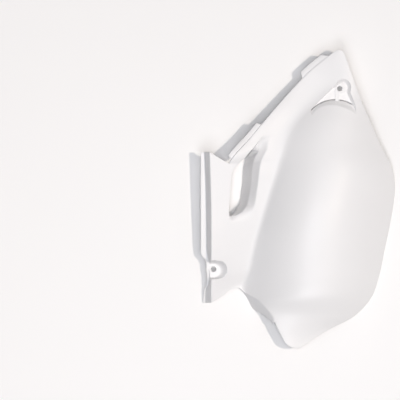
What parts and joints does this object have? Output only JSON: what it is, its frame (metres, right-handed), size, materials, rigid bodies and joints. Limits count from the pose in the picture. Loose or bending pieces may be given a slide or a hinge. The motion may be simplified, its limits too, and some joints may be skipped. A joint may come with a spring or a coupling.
{
  "type": "motorcycle side number board",
  "caption": "Side number board of a motocross bike: a thin moulded shell with a bulged plate, a front strip with a vent scoop, edge tongues and bolt seats.",
  "frame": {"origin": "under the middle of the board, on the surface that it lies on, outer face up", "axes": "+Y along the board towards the top rear corner, -X towards the front of the bike, +Z out of the outer face"},
  "size_m": [0.2598, 0.3996, 0.0538],
  "materials": {
    "panel": "injection-moulded polypropylene, semi-gloss"
  },
  "bodies": {
    "root": {"number_board": "panel"}
  },
  "joints": []
}
